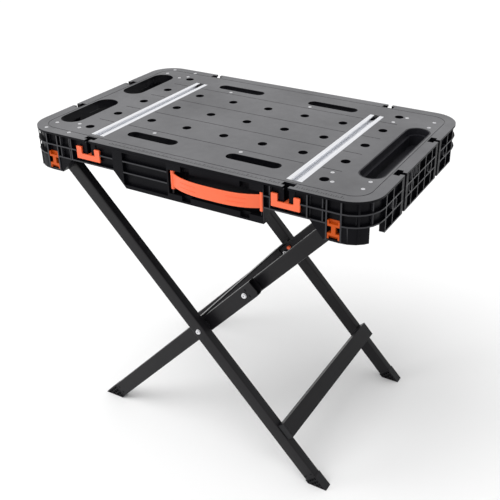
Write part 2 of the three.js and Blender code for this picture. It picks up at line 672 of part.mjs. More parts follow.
// A plastic boot that ends level with the floor, with a plug inside the tube.
function boot(side, size, out, tubeEnd, floorAt, direction) {
  const half = bootHalf(size);
  const start = tubeEnd + GAP;
  const profile = [
    [start, -half],
    [floorAt(-half), -half],
    [floorAt(half), half],
    [start, half],
  ].map(([x, z]) => [direction * x, z]);
  const y = middle(side, out, size.depth);
  const depth = size.depth / 2 + BOOT.proud;
  const outer = slab(polygon(direction > 0 ? profile : profile.reverse()), [y - depth, y + depth]);
  const inset = size.wall + BOOT.slack;
  const plug = block(
    span(direction, start - BOOT.plug, start + 1),
    [y - size.depth / 2 + inset, y + size.depth / 2 - inset],
    [-size.width / 2 + inset + 1, size.width / 2 - inset - 1],
  );
  return outer.add(plug);
}

// ---- Crossbars, pivots and brackets ----

const crossbarReach = outerLegOut - CROSSBAR.inset;
const crossbarX = toCrossing + CROSSBAR.fromCrossing;
const crossbarZ = OUTER_TUBE.width / 2 + GAP + CROSSBAR.depth / 2;

// A tube across the outer legs, lying on their upper edges.
function crossbar() {
  const [a, b] = [CROSSBAR.width / 2, CROSSBAR.depth / 2];
  const y = [-crossbarReach, crossbarReach];
  const outer = block([crossbarX - a, crossbarX + a], y, [crossbarZ - b, crossbarZ + b]);
  const [c, d] = [a - CROSSBAR.wall, b - CROSSBAR.wall];
  const hollow = [y[0] - 1, y[1] + 1];
  return outer.subtract(block([crossbarX - c, crossbarX + c], hollow, [crossbarZ - d, crossbarZ + d]));
}

function crossbarCap(side) {
  const [a, b] = [CROSSBAR.width / 2, CROSSBAR.depth / 2];
  const inset = CROSSBAR.wall + GAP;
  const face = span(side, crossbarReach + GAP, crossbarReach + CROSSBAR.cap);
  const plug = span(side, crossbarReach - CROSSBAR.plug, crossbarReach + 1);
  return join([
    block([crossbarX - a, crossbarX + a], face, [crossbarZ - b, crossbarZ + b]),
    block(
      [crossbarX - a + inset, crossbarX + a - inset],
      plug,
      [crossbarZ - b + inset, crossbarZ + b - inset],
    ),
  ]);
}

// A flat bar across the inner legs near the crossing, with a tab down each leg's inner face.
function crossPlate() {
  const z = INNER_TUBE.width / 2 + GAP;
  const x = [CROSS_PLATE.from, CROSS_PLATE.to];
  const plate = block(x, [-innerLegOut, innerLegOut], [z, z + CROSS_PLATE.thick]);
  const tabs = [-1, 1].map((side) => {
    const y = span(side, innerLegIn - GAP, innerLegIn - GAP - CROSS_PLATE.tab);
    return block([CROSS_PLATE.from, CROSS_PLATE.tabTo], y, [z - CROSS_PLATE.drop, z + 1]);
  });
  return join([plate, ...tabs]);
}

// The bolt at a crossing, with its head on the outer leg and its nut on the inner leg.
function crossingBolt(side) {
  const shank = span(side, innerLegIn - 3, outerLegOut + 1);
  const head = span(side, outerLegOut + GAP, outerLegOut + GAP + BOLT_HEAD.thick);
  const nut = span(side, innerLegIn - GAP - BOLT_HEAD.thick, innerLegIn - GAP);
  return join([
    bar(PIN_RADIUS, toCrossing, 0, shank),
    bar(BOLT_HEAD.radius, toCrossing, 0, head),
    bar(BOLT_HEAD.radius, toCrossing, 0, nut),
  ]);
}

// A plastic bush that keeps the two leg frames apart.
function crossingBush(side) {
  const y = span(side, innerLegOut + GAP, outerLegIn - GAP);
  const ring = bar(BUSH_RADIUS, toCrossing, 0, y);
  return ring.subtract(bar(PIN_RADIUS + GAP, toCrossing, 0, [-halfWidth, halfWidth]));
}

// The bolt at the knee, in the inner leg.
function kneeBolt(side) {
  const head = span(side, innerLegOut + GAP, innerLegOut + GAP + BOLT_HEAD.thick);
  return join([
    bar(PIN_RADIUS, toKnee, 0, span(side, innerLegIn - 1, innerLegOut + 1)),
    bar(BOLT_HEAD.radius, toKnee, 0, head),
  ]);
}

// A moulded plug in the inner leg's upper end, with a bore for the knee bolt.
function kneePlug(side) {
  const inset = INNER_TUBE.wall + BOOT.slack;
  const y = middle(side, innerLegOut, INNER_TUBE.depth);
  const [a, b] = [INNER_TUBE.depth / 2 - inset, INNER_TUBE.width / 2 - inset - 1];
  const top = toKnee + INNER_END;
  const solid = block([toKnee - KNEE_PLUG.below, top - KNEE_PLUG.short], [y - a, y + a], [-b, b]);
  return solid.subtract(pivotHole(toKnee));
}

const buttonBar = (radius, y) => bar(radius, LOCK_BUTTON.along, LOCK_BUTTON.up, y);

// A sprung button on the inner leg's inner face, beside the crossing.
function lockButton(side) {
  const under = innerLegIn - LOCK_BUTTON.travel - LOCK_BUTTON.room;
  const cap = span(side, under - LOCK_BUTTON.cap, under);
  const stem = span(side, under - LOCK_BUTTON.cap / 2, innerLegOut - LOCK_BUTTON.into);
  return join([buttonBar(LOCK_BUTTON.radius, cap), buttonBar(LOCK_BUTTON.stem, stem)]);
}

// A steel U under the deck: a flange against the plate and two ears around a leg.
function bracket(x, side, out, depth) {
  const outerEar = span(side, out + BRACKET.play, out + BRACKET.play + BRACKET.ear);
  const inner = out - depth - BRACKET.play;
  const innerEar = span(side, inner - BRACKET.ear, inner);
  const top = underPlate - GAP;
  const sweep = new THREE.Shape();
  sweep.absarc(x, pivotZ, BRACKET.tip, Math.PI, 2 * Math.PI);
  sweep.lineTo(x + BRACKET.half - BRACKET.slope, top);
  sweep.lineTo(x - BRACKET.half + BRACKET.slope, top);
  const flangeY = span(side, inner - BRACKET.ear, out + BRACKET.play + BRACKET.ear);
  const flange = block([x - BRACKET.half, x + BRACKET.half], flangeY, [top - BRACKET.flange, top]);
  const bore = bar(PIN_RADIUS + GAP, x, pivotZ, [-halfWidth, halfWidth]);
  return join([slab(sweep, outerEar), slab(sweep, innerEar), flange]).subtract(bore);
}

// The pin through a bracket's ears, with a head on its inner end.
function hingePin(x, side, out, depth) {
  const inner = out - depth - BRACKET.play - BRACKET.ear;
  const shank = span(side, inner - 2, out + BRACKET.play + BRACKET.ear);
  const head = span(side, inner - GAP - BOLT_HEAD.thick, inner - GAP);
  return join([bar(PIN_RADIUS, x, pivotZ, shank), bar(BOLT_HEAD.radius, x, pivotZ, head)]);
}

// ---- Assembly ----

function buildDeck() {
  place("deck_top", deckTop(), "deck");
  place("tool_tray", toolTray(), "black");
  const seamRib = cornerX - SEAM_RIB;
  place("rail_front_left", rail(-1, [-cornerX, HOUSING.left], [-trackX], [-seamRib]), "black");
  place("rail_front_right", rail(-1, [HOUSING.right, cornerX], [trackX], [seamRib]), "black");
  const backRibs = [...BACK_RIBS, seamRib].flatMap((x) => [-x, x]);
  place("rail_back", rail(1, [-cornerX, cornerX], [-trackX, trackX], backRibs), "black");
  place("handle_housing", handleHousing(), "black");
  for (const [endName, end] of Object.entries(ENDS)) {
    place("t_track_" + endName, tTrack(end * trackX), "aluminium");
    place("track_stop_" + endName, trackStop(end * trackX), "black");
    place("end_panel_" + endName, endPanel(end), "black");
    for (const [sideName, side] of Object.entries(SIDES)) {
      const corner = sideName + "_" + endName;
      place("corner_block_" + corner, cornerBlock(end, side), "black");
      place("connector_key_" + corner, connectorKey(end, side), "orange");
      place("notch_slider_" + corner, slider(end, side), "orange");
    }
  }
}

function buildHandle() {
  place("handle_strap", handleStrap(), "orange");
  place("handle_pin_left", pinHole(HANDLE.left, EYE.pin), "steel");
  place("handle_pin_right", pinHole(HANDLE.right, EYE.pin), "steel");
}

function buildHinges() {
  for (const [name, side] of Object.entries(SIDES)) {
    place("leg_bracket_" + name, bracket(-pivotX, side, outerLegOut, OUTER_TUBE.depth), "zinc");
    place("leg_pin_" + name, hingePin(-pivotX, side, outerLegOut, OUTER_TUBE.depth), "zinc");
    place("link_bracket_" + name, bracket(pivotX, side, linkOut, LINK_TUBE.depth), "zinc");
    place("link_pin_" + name, hingePin(pivotX, side, linkOut, LINK_TUBE.depth), "zinc");
  }
}

// The outer frame hangs from the left end and leans to the right.
function buildOuterFrame() {
  const frame = new THREE.Group();
  frame.position.set(-pivotX, 0, pivotZ);
  frame.rotation.y = legAngle;
  sawhorse.add(frame);
  for (const [name, side] of Object.entries(SIDES)) {
    place("outer_leg_" + name, outerLeg(side), "steel", frame);
    const foot = boot(side, OUTER_TUBE, outerLegOut, outerTubeEnd, outerFloor, 1);
    place("outer_foot_" + name, foot, "black", frame);
    place("crossing_bolt_" + name, crossingBolt(side), "zinc", frame);
    place("crossing_bush_" + name, crossingBush(side), "black", frame);
    place("crossbar_cap_" + name, crossbarCap(side), "black", frame);
  }
  place("lower_crossbar", crossbar(), "steel", frame);
}

// The inner frame leans to the left; its upper ends are joined to the deck by the links.
function buildInnerFrame() {
  const frame = new THREE.Group();
  frame.position.set(0, 0, CROSSING_HEIGHT);
  frame.rotation.y = -legAngle;
  sawhorse.add(frame);
  const knee = new THREE.Group();
  knee.position.set(toKnee, 0, 0);
  frame.add(knee);
  for (const [name, side] of Object.entries(SIDES)) {
    place("inner_leg_" + name, innerLeg(side), "steel", frame);
    const foot = boot(side, INNER_TUBE, innerLegOut, innerTubeEnd, innerFloor, -1);
    place("inner_foot_" + name, foot, "black", frame);
    place("knee_bolt_" + name, kneeBolt(side), "zinc", frame);
    place("knee_plug_" + name, kneePlug(side), "black", frame);
    place("lock_button_" + name, lockButton(side), "orange", frame);
    place("upper_link_" + name, upperLink(side), "steel", knee);
  }
  place("cross_plate", crossPlate(), "steel", frame);
}

buildDeck();
buildHandle();
buildHinges();
buildOuterFrame();
buildInnerFrame();

// The floor point under the middle of the whole object is the origin.
const handleReach = HANDLE.bow + HANDLE.thick / 2 - EYE.radius - EYE.clear;
sawhorse.position.y = handleReach / 2;

export default sawhorse;
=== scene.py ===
"""Looks for the folding sawhorse: fine meshes round the CAD frame, materials, studio and camera.

Lengths are in millimetres until they go into a mesh. X and Y are counted from the deck's middle, and Z
from the deck's top face, so a point under the deck has a negative Z. place() turns them into the frame.
"""

import json
import math

import bmesh
import bpy
from mathutils import Matrix, Vector


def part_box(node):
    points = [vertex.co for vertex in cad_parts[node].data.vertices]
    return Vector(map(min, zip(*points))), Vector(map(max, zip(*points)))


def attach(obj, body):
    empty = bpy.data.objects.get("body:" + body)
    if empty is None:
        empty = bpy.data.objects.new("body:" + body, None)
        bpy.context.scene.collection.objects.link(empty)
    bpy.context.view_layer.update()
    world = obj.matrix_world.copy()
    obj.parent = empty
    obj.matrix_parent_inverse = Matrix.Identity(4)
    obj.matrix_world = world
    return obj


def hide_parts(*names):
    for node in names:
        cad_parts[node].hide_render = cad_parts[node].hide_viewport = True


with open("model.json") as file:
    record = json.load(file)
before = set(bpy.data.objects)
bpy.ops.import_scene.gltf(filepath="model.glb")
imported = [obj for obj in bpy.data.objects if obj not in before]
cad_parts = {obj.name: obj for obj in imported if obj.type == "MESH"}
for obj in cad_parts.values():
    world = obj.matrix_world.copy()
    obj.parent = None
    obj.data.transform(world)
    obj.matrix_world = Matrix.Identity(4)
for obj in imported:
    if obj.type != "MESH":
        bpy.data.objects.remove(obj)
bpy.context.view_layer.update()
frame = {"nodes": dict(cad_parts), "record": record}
MM = 0.001
DECK_LOW, DECK_HIGH = (Vector(corner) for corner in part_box("deck_top"))
ORIGIN = Vector((0, (DECK_LOW.y + DECK_HIGH.y) / 2, DECK_HIGH.z))
HALF_X = (DECK_HIGH.x - DECK_LOW.x) / 2 / MM
HALF_Y = (DECK_HIGH.y - DECK_LOW.y) / 2 / MM
FLOOR = -ORIGIN.z / MM
SIDES = {"front": -1, "back": 1}
ENDS = {"left": -1, "right": 1}


def place(x, y, z):
    """A point given in millimetres from the middle of the deck's top face, in the frame."""
    return ORIGIN + Vector((x, y, z)) * MM


def span(node):
    """A CAD node's box as ((x0, x1), (y0, y1), (z0, z1)) in this script's millimetres."""
    low, high = (Vector(corner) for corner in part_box(node))
    return tuple(((a - o) / MM, (b - o) / MM) for a, b, o in zip(low, high, ORIGIN))


# ---- Materials ----

GRAIN_HEIGHT = 0.0003
BRUSH_HEIGHT = 0.0002
RAMP = (0.3, 0.7)


def new_material(name, colour, roughness, metallic=0.0):
    material = bpy.data.materials.new(name)
    material.use_nodes = True
    shader = material.node_tree.nodes["Principled BSDF"]
    shader.inputs["Base Color"].default_value = (*colour, 1)
    shader.inputs["Roughness"].default_value = roughness
    shader.inputs["Metallic"].default_value = metallic
    return material, material.node_tree, shader


def noise(tree, scale, detail=3.0, stretch=(1, 1, 1)):
    """A noise texture's output, in the object's own coordinates, stretched along an axis."""
    coordinates = tree.nodes.new("ShaderNodeTexCoord")
    mapping = tree.nodes.new("ShaderNodeMapping")
    mapping.inputs["Scale"].default_value = stretch
    texture = tree.nodes.new("ShaderNodeTexNoise")
    texture.inputs["Scale"].default_value = scale
    texture.inputs["Detail"].default_value = detail
    tree.links.new(coordinates.outputs["Object"], mapping.inputs["Vector"])
    tree.links.new(mapping.outputs["Vector"], texture.inputs["Vector"])
    return texture.outputs["Fac"]


def vary_colour(tree, shader, source, dark, light):
    """Spreads the base colour between two colours, as the source goes."""
    ramp = tree.nodes.new("ShaderNodeValToRGB")
    for element, position, colour in zip(ramp.color_ramp.elements, RAMP, (dark, light)):
        element.position = position
        element.color = (*colour, 1)
    tree.links.new(source, ramp.inputs["Fac"])
    tree.links.new(ramp.outputs["Color"], shader.inputs["Base Color"])


def vary_roughness(tree, shader, source, low, high):
    """Spreads the roughness between two values, as the source goes."""
    spread = tree.nodes.new("ShaderNodeMapRange")
    spread.inputs["From Min"].default_value = RAMP[0]
    spread.inputs["From Max"].default_value = RAMP[1]
    spread.inputs["To Min"].default_value = low
    spread.inputs["To Max"].default_value = high
    tree.links.new(source, spread.inputs["Value"])
    tree.links.new(spread.outputs["Result"], shader.inputs["Roughness"])


def add_bump(tree, shader, source, strength, height):
    bump = tree.nodes.new("ShaderNodeBump")
    bump.inputs["Strength"].default_value = strength
    bump.inputs["Distance"].default_value = height
    tree.links.new(source, bump.inputs["Height"])
    tree.links.new(bump.outputs["Normal"], shader.inputs["Normal"])


def moulded(name, colour, roughness, spread=0.12, grain=900, strength=0.35, shine=0.5):
    """Moulded plastic: a fine grain, faint flow marks in its colour and uneven gloss."""
    material, tree, shader = new_material(name, colour, roughness)
    dark = [channel * (1 - spread) for channel in colour]
    light = [min(1, channel * (1 + spread)) for channel in colour]
    vary_colour(tree, shader, noise(tree, 5, 6), dark, light)
    vary_roughness(tree, shader, noise(tree, 60, 4), roughness - 0.06, roughness + 0.06)
    add_bump(tree, shader, noise(tree, grain, 2), strength, GRAIN_HEIGHT)
    shader.inputs["Specular IOR Level"].default_value = shine
    return material


def powder_coat(name, colour, roughness):
    """Powder-coated steel: a shallow orange-peel surface."""
    material, tree, shader = new_material(name, colour, roughness)
    dark = [channel * 0.85 for channel in colour]
    light = [channel * 1.15 for channel in colour]
    vary_colour(tree, shader, noise(tree, 14, 5), dark, light)
    vary_roughness(tree, shader, noise(tree, 120, 3), roughness - 0.05, roughness + 0.07)
    add_bump(tree, shader, noise(tree, 420, 2), 0.3, GRAIN_HEIGHT)
    shader.inputs["Specular IOR Level"].default_value = 0.2
    return material


def brushed(name, colour, roughness, stretch):
    """Satin metal with fine lines drawn along one axis."""
    material, tree, shader = new_material(name, colour, roughness, 0.65)
    lines = noise(tree, 350, 3, stretch)
    vary_colour(tree, shader, lines, [channel * 0.88 for channel in colour], colour)
    vary_roughness(tree, shader, lines, roughness - 0.08, roughness + 0.12)
    add_bump(tree, shader, lines, 0.12, BRUSH_HEIGHT)
    return material


DECK = moulded("deck_plastic", (0.142, 0.142, 0.148), 0.6, 0.2, 700, 0.6, 0.35)
BLACK = moulded("black_plastic", (0.0035, 0.0035, 0.005), 0.4, shine=0.07)
FOOT = moulded("foot_plastic", (0.011, 0.011, 0.0125), 0.45, shine=0.2)
# A lighter copy of the black plastic: a painted highlight for the light that ribs, bosses and rib edges
# catch against the shaded skirt.
PAINTED_RIB_HIGHLIGHT = moulded("rib_painted_highlight", (0.025, 0.025, 0.029), 0.45, shine=0.3)
# A lighter copy of the black plastic for the tool tray: painted light standing in for the light on its
# floor.
TRAY_PAINTED_LIGHT = moulded("tray_painted_light", (0.015, 0.015, 0.019), 0.42, shine=0.25)
ORANGE = moulded("orange_plastic", (0.86, 0.13, 0.04), 0.4, 0.05, 1200, 0.15)
AMBER = moulded("key_plastic", (0.5, 0.07, 0.0025), 0.45, 0.05, 1200, 0.15, 0.2)
COATED = powder_coat("leg_steel", (0.0078, 0.0074, 0.0086), 0.34)
ALUMINIUM = brushed("track_aluminium", (0.93, 0.94, 0.97), 0.42, (1, 0.02, 1))
ZINC = brushed("zinc_steel", (0.8, 0.8, 0.82), 0.35, (0.3, 0.3, 1))
SLOTS = {
    "deck_plastic": DECK,
    "black_plastic": BLACK,
    "foot_plastic": FOOT,
    "orange_plastic": ORANGE,
    "key_plastic": AMBER,
    "leg_steel": COATED,
    "track_aluminium": ALUMINIUM,
    "zinc_steel": ZINC,
}

# ---- Meshes ----

SHARP = math.radians(40)


def mesh_object(name, bm):
    mesh = bpy.data.meshes.new(name)
    bmesh.ops.recalc_face_normals(bm, faces=bm.faces)
    bm.to_mesh(mesh)
    bm.free()
    piece = bpy.data.objects.new(name, mesh)
    bpy.context.scene.collection.objects.link(piece)
    return piece


def applied(piece):
    """Makes the modifiers' result the piece's own mesh."""
    bpy.context.view_layer.update()
    graph = bpy.context.evaluated_depsgraph_get()
    mesh = bpy.data.meshes.new_from_object(piece.evaluated_get(graph))
    piece.modifiers.clear()
    piece.data = mesh
    return piece


def bevel(piece, width, segments=2, angle=35):
    modifier = piece.modifiers.new("bevel", "BEVEL")
    modifier.width = width * MM
    modifier.segments = segments
    modifier.limit_method = "ANGLE"
    modifier.angle_limit = math.radians(angle)
    return applied(piece)


def boolean(piece, tool, operation="DIFFERENCE"):
    modifier = piece.modifiers.new("boolean", "BOOLEAN")
    modifier.object = tool
    modifier.operation = operation
    modifier.solver = "EXACT"
    applied(piece)
    bpy.data.objects.remove(tool)
    return piece


def prism(name, loops, low, high, axis="Z"):
    """A solid from flat outlines, the first one outside and the rest holes, between two levels.

    Outlines are (x, y) for axis Z, (x, z) for axis Y and (y, z) for axis X."""
    to_point = {
        "Z": lambda a, b, level: place(a, b, level),
        "Y": lambda a, b, level: place(a, level, b),
        "X": lambda a, b, level: place(level, a, b),
    }[axis]
    bm = bmesh.new()
    edges = []
    for loop in loops:
        corners = [bm.verts.new(to_point(a, b, low)) for a, b in loop]
        edges += [bm.edges.new((p, q)) for p, q in zip(corners, corners[1:] + corners[:1])]
    bmesh.ops.triangle_fill(bm, use_beauty=True, edges=edges)
    risen = bmesh.ops.extrude_face_region(bm, geom=bm.faces[:])["geom"]
    rise = to_point(0, 0, high) - to_point(0, 0, low)
    tops = [item for item in risen if isinstance(item, bmesh.types.BMVert)]
    bmesh.ops.translate(bm, verts=tops, vec=rise)
    return mesh_object(name, bm)


def slab(name, x, y, z):
    """A box between pairs of levels."""
    return prism(name, [[(x[0], y[0]), (x[1], y[0]), (x[1], y[1]), (x[0], y[1])]], z[0], z[1])


def merged(name, pieces):
    """One object from several, which are removed."""
    bm = bmesh.new()
    for piece in pieces:
        bm.from_mesh(piece.data)
        bpy.data.objects.remove(piece)
    return mesh_object(name, bm)


def show(piece, body, material, replaced=()):
    """Smooths a finished piece and hands it to its body."""
    for face in piece.data.polygons:
        face.use_smooth = True
    piece.data.set_sharp_from_angle(angle=SHARP)
    piece.modifiers.new("weighted", "WEIGHTED_NORMAL").keep_sharp = True
    piece.data.materials.clear()
    piece.data.materials.append(material)
    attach(piece, body)
    if replaced:
        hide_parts(*replaced)
    return piece


def circle(x, y, radius, steps=40):
    turns = [2 * math.pi * i / steps for i in range(steps)]
    return [(x + radius * math.cos(t), y + radius * math.sin(t)) for t in turns]


def round_box(x, y, width, height, radius, steps=12):
    """A rectangle with round corners, as a list of points."""
    points = []
    for quarter, (sx, sy) in enumerate([(1, 1), (-1, 1), (-1, -1), (1, -1)]):
        cx = x + sx * (width / 2 - radius)
        cy = y + sy * (height / 2 - radius)
        for i in range(steps + 1):
            turn = math.pi / 2 * (quarter + i / steps)
            points.append((cx + radius * math.cos(turn), cy + radius * math.sin(turn)))
    return points


def stadium(x, y, width, height, steps=12):
    return round_box(x, y, width, height, min(width, height) / 2 - 0.01, steps)


# ---- Deck ----

PLATE = 5
CORNER = 63
CORNER_STEPS = 16
FIT = 0.3  # between a piece and the opening that it sits in
PLATE_EDGE = 0.7
HUNG = (-20, 0.5 - PLATE)  # levels of what hangs under the plate, with its top sunk into the plate
TRACK_X = sum(span("t_track_right")[0]) / 2
TRACK = {"half": 17, "y": span("t_track_right")[1], "depth": 12, "corner": 0.3}
CRADLE_WALL = 3
NOTCH = {"stem": 5.5, "head": 13.5, "from": 9, "to": 22}
END_NOTCH_Y = 96
PITCH = 96
HOLE_RADIUS = 10
COLLAR = 2
BETWEEN_HOLES = [PITCH * (number + 0.5) for number in (-2, -1, 0, 1)]
UNDER_RIB = {"half": 1.5, "to_track": 19, "long": 190, "short": 166}
LINE = {"width": 1.5, "depth": 0.9, "to_track": 20, "past_track": 62, "inset": 24}
RULER = {"pitch": 5, "from": -37, "to": 71, "inset": 8, "half": 0.6, "depth": 0.8, "clear": 6}
MARK_LENGTHS = {"long": 10, "middle": 7, "short": 4}
TRAY = span("tool_tray")
# Slots are (x, y, width, height).
TRAY_SLOT = (sum(TRAY[0]) / 2, 0, TRAY[0][1] - TRAY[0][0] + 2 * FIT, TRAY[1][1] - TRAY[1][0] + 2 * FIT)
END_SLOTS = [(-TRAY_SLOT[0], i * 111, 56, 168) for i in (-1, 1)]
THIN_SLOTS = [(i * 125, j * (HALF_Y - 78), 126, 28) for i in (-1, 1) for j in (-1, 1)]
DOG_HOLES = [(x * PITCH, y * PITCH) for x in (-3, -2, -1, 0, 1, 2, 3) for y in (-1, 0, 1)]
DOG_HOLES += [(x * PITCH, y * PITCH) for x in (-3, 3) for y in (-2, 2)]
SCREWS = [(x, i * y) for x, y in ((288, 156), (306, 195), (370, 161), (370, 196)) for i in (-1, 1)]
SCREWS += [(x, i * y) for x, y in ((-320, 190), (-305, 208), (-305, 241), (-370, 207)) for i in (-1, 1)]
SCREWS += [(-370, 241), (-370, -241), (-139.5, 155), (-139.5, -155), (79, 155), (79, -155)]
SCREW = {"radius": 4.2, "top": -0.1, "head": 3, "round": 1.2, "recess": 1, "arm": 2.2, "half": 0.5}


def deck_outline():
    """The deck's outline with its eight T-shaped notches, going round anticlockwise."""
    stem, head, near, far = NOTCH["stem"], NOTCH["head"], NOTCH["from"], NOTCH["to"]
    steps = [(-stem, 0), (-stem, near), (-head, near), (-head, far)]
    steps += [(head, far), (head, near), (stem, near), (stem, 0)]
    points = []
    corners = [(1, -1), (1, 1), (-1, 1), (-1, -1)]
    for quarter, (sx, sy) in enumerate(corners):
        for i in range(CORNER_STEPS + 1):
            turn = math.pi / 2 * (quarter - 1 + i / CORNER_STEPS)
            x = sx * (HALF_X - CORNER) + CORNER * math.cos(turn)
            y = sy * (HALF_Y - CORNER) + CORNER * math.sin(turn)
            points.append((x, y))
        along = END_NOTCH_Y if quarter % 2 == 0 else TRACK_X
        for middle in (-along, along):
            for offset, depth in steps:
                run = middle + offset
                right = (HALF_X - depth, run)
                back = (-run, HALF_Y - depth)
                left = (depth - HALF_X, -run)
                front = (run, depth - HALF_Y)
                points.append([right, back, left, front][quarter])
    return points


def rounded_plate(inset):
    """The deck's outline without its notches, drawn in by an inset."""
    return round_box(0, 0, 2 * (HALF_X - inset), 2 * (HALF_Y - inset), CORNER - inset, CORNER_STEPS)


def grooves():
    """Cutters for the lines that are moulded into the deck's top face."""
    near, far = TRACK_X + LINE["to_track"], TRACK_X + LINE["past_track"]
    inner = TRACK_X - LINE["to_track"]
    across = LINE["width"] / 2
    tools = []
    for y in BETWEEN_HOLES:
        for reach in ((-inner, inner), (near, far), (-far, -near)):
            tools.append(slab("line", reach, (y - across, y + across), (-LINE["depth"], 1)))
    loops = [rounded_plate(LINE["inset"]), rounded_plate(LINE["inset"] + LINE["width"])]
    tools.append(prism("ring", loops, -LINE["depth"], 1))
    return tools + ruler_marks()


def ruler_marks():
    """Marks every 5 mm along the front edge, longer every 10 mm and longest every 50 mm."""
    near = RULER["inset"] - HALF_Y
    tools = []
    for number in range(RULER["from"], RULER["to"] + 1):
        x = number * RULER["pitch"]
        if abs(abs(x) - TRACK_X) < NOTCH["head"] + RULER["clear"]:
            continue
        size = "long" if number % 10 == 0 else "middle" if number % 2 == 0 else "short"
        width = (x - RULER["half"], x + RULER["half"])
        tools.append(slab("mark", width, (near, near + MARK_LENGTHS[size]), (-RULER["depth"], 1)))
    return tools


def track_opening(side, gap):
    """The outline round one of the two tracks, at a gap from it."""
    y0, y1 = TRACK["y"]
    width = 2 * (TRACK["half"] + gap)
    return round_box(side * TRACK_X, (y0 + y1) / 2, width, y1 - y0 + 2 * gap, TRACK["corner"], 1)


def under_deck():
    """Collars round the holes and slots, the tracks' cradles and the ribs under the plate."""
    parts = []
    for x, y in DOG_HOLES:
        loops = [circle(x, y, HOLE_RADIUS + COLLAR), circle(x, y, HOLE_RADIUS)]
        parts.append(prism("collar", loops, *HUNG))
    for x, y, width, height in END_SLOTS + THIN_SLOTS:
        outer = stadium(x, y, width + 2 * COLLAR, height + 2 * COLLAR)
        parts.append(prism("collar", [outer, stadium(x, y, width, height)], *HUNG))
    cradle_top = -TRACK["depth"] - FIT
    for side in (-1, 1):
        loops = [track_opening(side, FIT + CRADLE_WALL), track_opening(side, FIT)]
        parts.append(prism("cradle", loops, cradle_top - CRADLE_WALL, HUNG[1]))
        parts.append(prism("cradle", loops[:1], cradle_top - CRADLE_WALL, cradle_top))
    reach_x = TRACK_X - UNDER_RIB["to_track"]
    for at in BETWEEN_HOLES:
        thick = (at - UNDER_RIB["half"], at + UNDER_RIB["half"])
        parts.append(slab("rib", (-reach_x, reach_x), thick, HUNG))
        reach_y = UNDER_RIB["short" if abs(at) > PITCH else "long"]
        parts.append(slab("rib", thick, (-reach_y, reach_y), HUNG))
    return parts


def build_deck():
    holes = [circle(x, y, HOLE_RADIUS) for x, y in DOG_HOLES]
    holes += [stadium(*slot) for slot in END_SLOTS + THIN_SLOTS + [TRAY_SLOT]]
    holes += [circle(x, y, SCREW["radius"] + FIT, 20) for x, y in SCREWS]
    holes += [track_opening(side, FIT) for side in (-1, 1)]
    plate = prism("deck_plate", [deck_outline()] + holes, -PLATE, 0)
    bevel(plate, PLATE_EDGE)
    boolean(plate, merged("grooves", grooves()))
    deck = merged("deck", [plate] + under_deck())
    show(deck, "deck", DECK, ["deck_top"])
    # Only the upward top faces keep the deck's grey. The walls of holes and slots, the plate's edges and
    # everything under it are painted in the black plastic, a painted shade on what is the same grey
    # moulding.
    deck.data.materials.append(BLACK)
    for face in deck.data.polygons:
        upward_top_face = face.normal.z > 0.3 and face.center.z > ORIGIN.z - 2 * MM
        face.material_index = 0 if upward_top_face else 1


def screw(x, y):
    """A pan head with a cross recess, seen from above."""
    top, long, short = SCREW["top"], SCREW["arm"], SCREW["half"]
    head = prism("head", [circle(x, y, SCREW["radius"], 24)], top - SCREW["head"], top)
    bevel(head, SCREW["round"], 3)
    recess = (top - SCREW["recess"], 1)
    along_x = slab("arm", (x - long, x + long), (y - short, y + short), recess)
    along_y = slab("arm", (x - short, x + short), (y - long, y + long), recess)
    return boolean(head, boolean(along_x, along_y, "UNION"))


def build_screws():
    show(merged("deck_screws", [screw(x, y) for x, y in SCREWS]), "deck", ZINC)


build_deck()
build_screws()

# ---- Handle ----

STRAP = span("handle_strap")
STRAP_PINS = [sum(span("handle_pin_" + end)[0]) / 2 for end in ENDS]
STRAP_PIN_Y = sum(span("handle_pin_left")[1]) / 2
STRAP_HEIGHT = 29
STRAP_THICK = 3.4
STRAP_ROUND = 1.2
STRAP_EYE_RADIUS = 4.5
STRAP_INSET = 0.3  # from the strap's place in CAD
RAISED_LINE = {"shares": (0.34, 0.72), "aside": 5, "half": 0.8, "proud": 0.7, "round": 0.4}


def strap_line(from_share, to_share, out, steps=48):
    """Points along the strap, between shares of its half length, at a distance out of its middle."""
    middle, half = sum(STRAP_PINS) / 2, (STRAP_PINS[1] - STRAP_PINS[0]) / 2
    bow = STRAP_PIN_Y - STRAP[1][0] - STRAP_THICK / 2 - STRAP_INSET
    points = []
    for i in range(steps + 1):
        share = from_share + (to_share - from_share) * i / steps
        slope = 3 * bow / half * share * abs(share)
        turn = math.hypot(1, slope)
        x = middle + share * half + out * slope / turn
        y = STRAP_PIN_Y - bow * (1 - abs(share) ** 3) - out / turn
        points.append((x, y))
    return points


def strap_band(name, shares, outs, heights, steps=48):
    """A solid that follows the strap, between two distances out of its middle."""
    outline = strap_line(*shares, outs[1], steps) + strap_line(*shares, outs[0], steps)[::-1]
    return prism(name, [outline], *heights)


def build_strap():
    """A rubber strap with round edges and two raised lines on each half, between two upright eyes."""
    middle = (STRAP[2][0] + STRAP[2][1]) / 2
    heights = (middle - STRAP_HEIGHT / 2, middle + STRAP_HEIGHT / 2)
    band = strap_band("band", (-1, 1), (-STRAP_THICK / 2, STRAP_THICK / 2), heights)
    parts = [bevel(band, STRAP_ROUND, 3)]
    near, far = RAISED_LINE["shares"]
    for shares in ((-far, -near), (near, far)):
        for z in (middle - RAISED_LINE["aside"], middle + RAISED_LINE["aside"]):
            width = (z - RAISED_LINE["half"], z + RAISED_LINE["half"])
            line = strap_band("line", shares, (0, STRAP_THICK / 2 + RAISED_LINE["proud"]), width, 12)
            parts.append(bevel(line, RAISED_LINE["round"]))
    for x in STRAP_PINS:
        eye = prism("eye", [circle(x, STRAP_PIN_Y, STRAP_EYE_RADIUS)], *STRAP[2])
        parts.append(bevel(eye, STRAP_ROUND, 3))
    show(merged("carrying_strap", parts), "deck", ORANGE, ["handle_strap"])


build_strap()

# ---- Skirt ----

